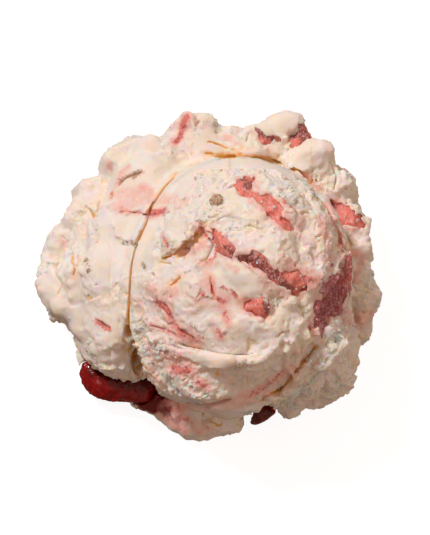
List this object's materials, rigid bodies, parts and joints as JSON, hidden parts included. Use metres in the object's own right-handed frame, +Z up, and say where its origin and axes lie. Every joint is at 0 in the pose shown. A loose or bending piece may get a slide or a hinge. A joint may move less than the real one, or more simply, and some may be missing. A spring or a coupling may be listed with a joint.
{
  "type": "scoop of strawberry cheesecake ice cream",
  "caption": "Round scoop of pale strawberry cheesecake ice cream with a side fold, a ragged torn collar, chunks of strawberry and biscuit crumbs; stands on its flat underside.",
  "frame": {"origin": "on the flat underside, under the middle of the scoop's bounding box", "axes": "+Z up; -Y towards the front, where the big ball overhangs the foot; +X to the right, with the fold on the -X side of the ball"},
  "size_m": [0.0838, 0.0812, 0.0545],
  "materials": {
    "cream": "matt frozen cream, smoothed in places and torn in others",
    "strawberry": "moist fruit flesh, coral red to dark red",
    "strawberry_frosted": "purple-red fruit with a dull frost on it",
    "strawberry_wet": "dark red, wet with juice"
  },
  "bodies": {
    "root": {"ice_cream": "cream", "strawberry_upper_strip": "strawberry", "strawberry_middle_left": "strawberry", "strawberry_middle_right": "strawberry", "strawberry_right": "strawberry_frosted", "strawberry_small": "strawberry", "strawberry_front_left": "strawberry_wet", "strawberry_front_right": "strawberry_wet", "strawberry_right_collar": "strawberry", "strawberry_back_right": "strawberry", "strawberry_back": "strawberry"}
  },
  "joints": []
}
